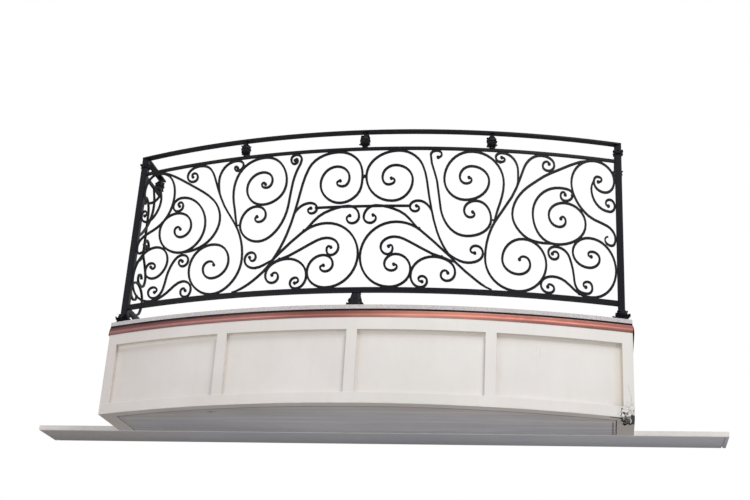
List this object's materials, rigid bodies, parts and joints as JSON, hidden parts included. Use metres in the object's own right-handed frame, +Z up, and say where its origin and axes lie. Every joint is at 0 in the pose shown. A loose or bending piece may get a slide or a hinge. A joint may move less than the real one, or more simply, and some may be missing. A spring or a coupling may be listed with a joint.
{
  "type": "bow-fronted juliet balcony",
  "caption": "Shallow bowed balcony with a cream panelled box, copper flashing and a black wrought scroll railing.",
  "frame": {"origin": "centre of the ledger board's back face, on the wall, half way up the box", "axes": "+X along the wall to the viewer's right, +Y into the wall, +Z up"},
  "size_m": [3.89, 0.8428, 1.604],
  "materials": {
    "black_iron": "satin black paint",
    "cream_paint": "satin cream paint",
    "soffit_paint": "flat off-white paint",
    "raw_timber": "bare timber",
    "copper": "new copper sheet",
    "deck_stone": "speckled grey stone",
    "exposed_core": "torn core and mesh"
  },
  "bodies": {
    "root": {"ledger_board": "raw_timber", "wall_ledge": "cream_paint", "soffit_panel": "soffit_paint", "soffit_border": "cream_paint", "corner_damage": "exposed_core", "fascia_board": "cream_paint", "fascia_top_rail": "cream_paint", "fascia_bottom_rail": "cream_paint", "stile_left_end": "cream_paint", "stile_left": "cream_paint", "stile_centre": "cream_paint", "stile_right": "cream_paint", "stile_right_end": "cream_paint", "side_board_left": "cream_paint", "side_board_right": "cream_paint", "side_trim_left": "cream_paint", "side_trim_right": "cream_paint", "deck_slab": "deck_stone", "copper_flashing": "copper", "corner_post_left": "black_iron", "corner_post_right": "black_iron", "corner_shoes": "black_iron", "centre_foot": "black_iron", "wall_feet": "black_iron", "handrail_front": "black_iron", "handrail_left": "black_iron", "handrail_right": "black_iron", "upper_rail_front": "black_iron", "upper_rail_left": "black_iron", "upper_rail_right": "black_iron", "bottom_rail_front": "black_iron", "bottom_rail_left": "black_iron", "bottom_rail_right": "black_iron", "knuckles": "black_iron", "wall_links": "black_iron", "scrolls_outer_left": "black_iron", "scrolls_middle_left": "black_iron", "scrolls_centre_left": "black_iron", "scrolls_centre_right": "black_iron", "scrolls_middle_right": "black_iron", "scrolls_outer_right": "black_iron", "side_scrolls_left": "black_iron", "side_scrolls_right": "black_iron"}
  },
  "joints": []
}
